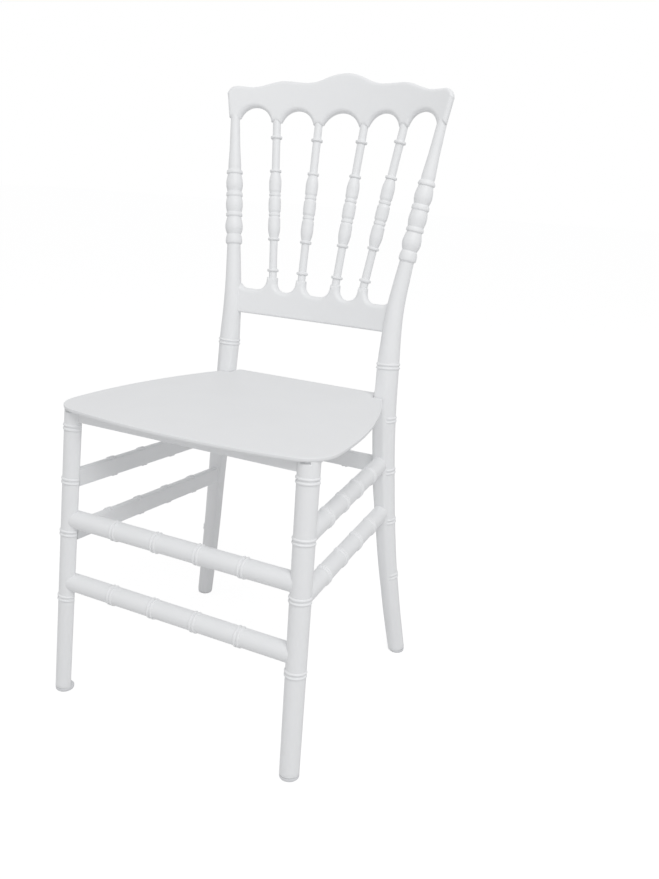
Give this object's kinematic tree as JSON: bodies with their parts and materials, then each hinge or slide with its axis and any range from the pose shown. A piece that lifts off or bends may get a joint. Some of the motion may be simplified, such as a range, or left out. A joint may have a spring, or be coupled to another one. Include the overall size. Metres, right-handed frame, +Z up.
{
  "type": "banquet chair",
  "caption": "White moulded banquet chair with a scalloped crest rail on turned posts and spindles, ringed legs and stretchers and a thin flat seat.",
  "frame": {"origin": "on the floor, in the middle of the chair's width and depth", "axes": "+X to the sitter's left-hand side as seen from the front (the right of the picture), -Y to the front, +Z up"},
  "size_m": [0.424, 0.4799, 0.9182],
  "materials": {
    "white_polypropylene": "satin, injection moulded",
    "glide_polymer": "matt, injection moulded",
    "zinc_steel": "zinc plated"
  },
  "bodies": {
    "root": {"crest_rail": "white_polypropylene", "lower_back_rail": "white_polypropylene", "back_spindle_1": "white_polypropylene", "back_spindle_2": "white_polypropylene", "back_spindle_3": "white_polypropylene", "back_spindle_4": "white_polypropylene", "rear_leg_left": "white_polypropylene", "rear_leg_right": "white_polypropylene", "front_leg_left": "white_polypropylene", "front_leg_right": "white_polypropylene", "front_seat_rail": "white_polypropylene", "rear_seat_rail": "white_polypropylene", "left_seat_rail": "white_polypropylene", "right_seat_rail": "white_polypropylene", "seat_panel": "white_polypropylene", "front_stretcher_upper": "white_polypropylene", "front_stretcher_lower": "white_polypropylene", "left_stretcher_upper": "white_polypropylene", "left_stretcher_lower": "white_polypropylene", "right_stretcher_upper": "white_polypropylene", "right_stretcher_lower": "white_polypropylene", "rear_stretcher": "white_polypropylene", "corner_block_front_left": "white_polypropylene", "corner_block_front_right": "white_polypropylene", "corner_block_rear_left": "white_polypropylene", "corner_block_rear_right": "white_polypropylene", "seat_screws": "zinc_steel", "corner_block_screws": "zinc_steel", "foot_glide_front_left": "glide_polymer", "foot_glide_front_right": "glide_polymer", "foot_glide_rear_left": "glide_polymer", "foot_glide_rear_right": "glide_polymer"}
  },
  "joints": []
}
